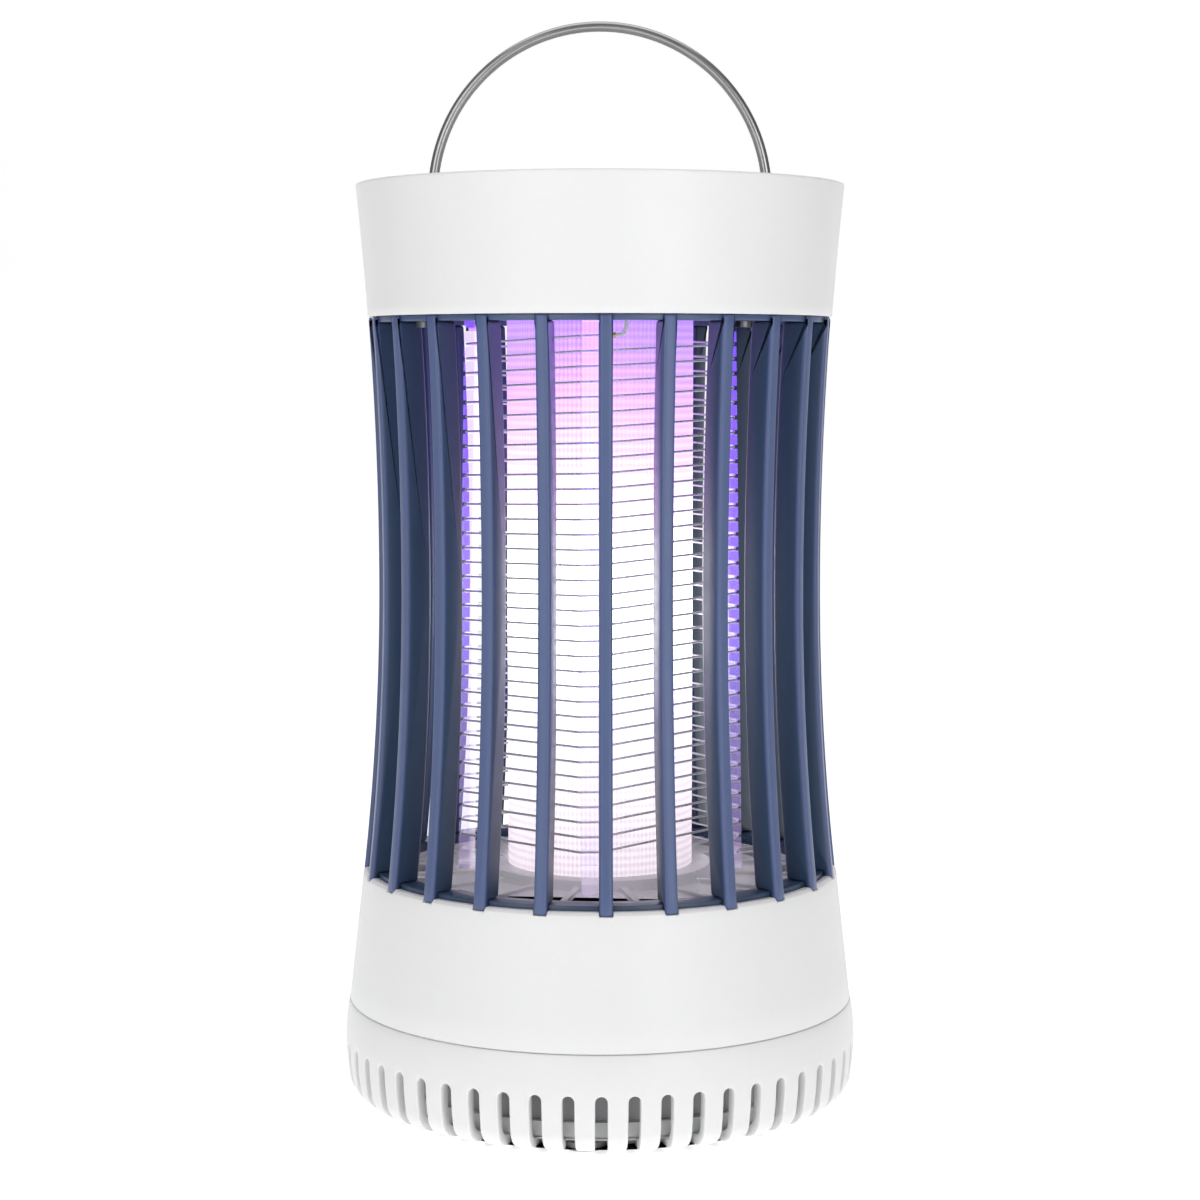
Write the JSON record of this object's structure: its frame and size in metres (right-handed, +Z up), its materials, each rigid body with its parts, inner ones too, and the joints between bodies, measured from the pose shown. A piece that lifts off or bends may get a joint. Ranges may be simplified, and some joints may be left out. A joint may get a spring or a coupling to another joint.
{
  "type": "electric bug zapper",
  "caption": "Waisted lantern-style electric bug zapper with a finned guard, a high-voltage wire cage round a violet lamp, a slotted tray and a folding wire handle.",
  "frame": {"origin": "on the axis of the lantern, at the plane the rubber feet stand on", "axes": "+Z up along the axis, -Y towards the front, +Y towards the charging socket"},
  "size_m": [0.11, 0.11, 0.2286],
  "materials": {
    "white_shell": "satin moulded ABS with a fine even surface",
    "blue_guard": "satin moulded plastic, dark slate blue",
    "pale_plate": "translucent pale plastic",
    "grey_cup": "fine matt grey plastic",
    "clear_post": "semi-clear plastic",
    "lamp_glass": "clear prismatic polycarbonate",
    "grid_steel": "drawn steel wire",
    "handle_steel": "polished stainless wire",
    "screw_steel": "zinc-plated steel",
    "foot_rubber": "matt rubber",
    "cover_rubber": "matt white silicone",
    "lamp_aluminium": "plain extruded aluminium",
    "lamp_board": "white solder mask on aluminium board",
    "uv_lamp": "lamp package with a violet glow",
    "lead_red": "red insulation",
    "lead_white": "white insulation",
    "crimp_brass": "crimped brass",
    "button_grey": "satin grey plastic",
    "switch_black": "matt black plastic",
    "lens_clear": "clear plastic",
    "status_green": "green lamp",
    "board_green": "green solder mask",
    "ferrite": "sintered ferrite",
    "coil_copper": "enamelled copper winding",
    "capacitor_blue": "dipped ceramic",
    "plug_ivory": "nylon plug housing",
    "cell_wrap": "shrink-wrapped cell",
    "tab_nickel": "nickel strip"
  },
  "bodies": {
    "housing": {"base_skirt": "white_shell", "skirt_screws": "screw_steel", "floor_plate": "pale_plate", "guard_lower_ring": "blue_guard", "guard_fins": "blue_guard", "guard_upper_ring": "blue_guard", "guard_screws": "screw_steel", "grid_posts": "clear_post", "live_wire": "grid_steel", "return_wire": "grid_steel", "grid_terminals": "crimp_brass", "grid_leads": "lead_white", "lamp_tube": "lamp_glass", "lamp_core": "lamp_aluminium", "lamp_boards": "lamp_board", "uv_lamps": "uv_lamp", "lamp_leads": "lead_white", "head_floor": "pale_plate", "head_shell": "white_shell", "top_deck": "white_shell", "deck_screws": "screw_steel", "button_switch": "switch_black", "status_lens": "lens_clear", "status_lamp": "status_green", "main_board": "board_green", "board_screws": "screw_steel", "transformer_core": "ferrite", "transformer_coil": "coil_copper", "hv_capacitors": "capacitor_blue", "hv_diodes": "switch_black", "driver_chips": "switch_black", "battery_plug": "plug_ivory", "usb_socket": "screw_steel", "battery_cells": "cell_wrap", "cell_cradles": "pale_plate", "cell_tabs": "tab_nickel", "battery_leads": "lead_red"},
    "handle": {"carry_handle": "handle_steel"},
    "button": {"power_button": "button_grey"},
    "socket_cover": {"usb_cover": "cover_rubber"},
    "tray": {"foot_pads": "foot_rubber", "base_tray": "white_shell", "collection_cup": "grey_cup"}
  },
  "joints": [
    {"name": "handle_fold", "type": "hinge", "parent": "housing", "child": "handle", "pos_m": [0, 0, 0.1906], "axis": [1, 0, 0], "range_deg": [-90, 90]},
    {"name": "button_press", "type": "slide", "parent": "housing", "child": "button", "axis": [0, 0, -1], "range_m": [0, 0.0008], "stiffness_N_per_m": 1200, "springref_m": -0.0005},
    {"name": "socket_cover_open", "type": "hinge", "parent": "housing", "child": "socket_cover", "pos_m": [0, 0.04939, 0.1812], "axis": [1, 0, 0], "range_deg": [0, 110]},
    {"name": "tray_pull", "type": "slide", "parent": "housing", "child": "tray", "axis": [0, 0, -1], "range_m": [0, 0.03]}
  ]
}
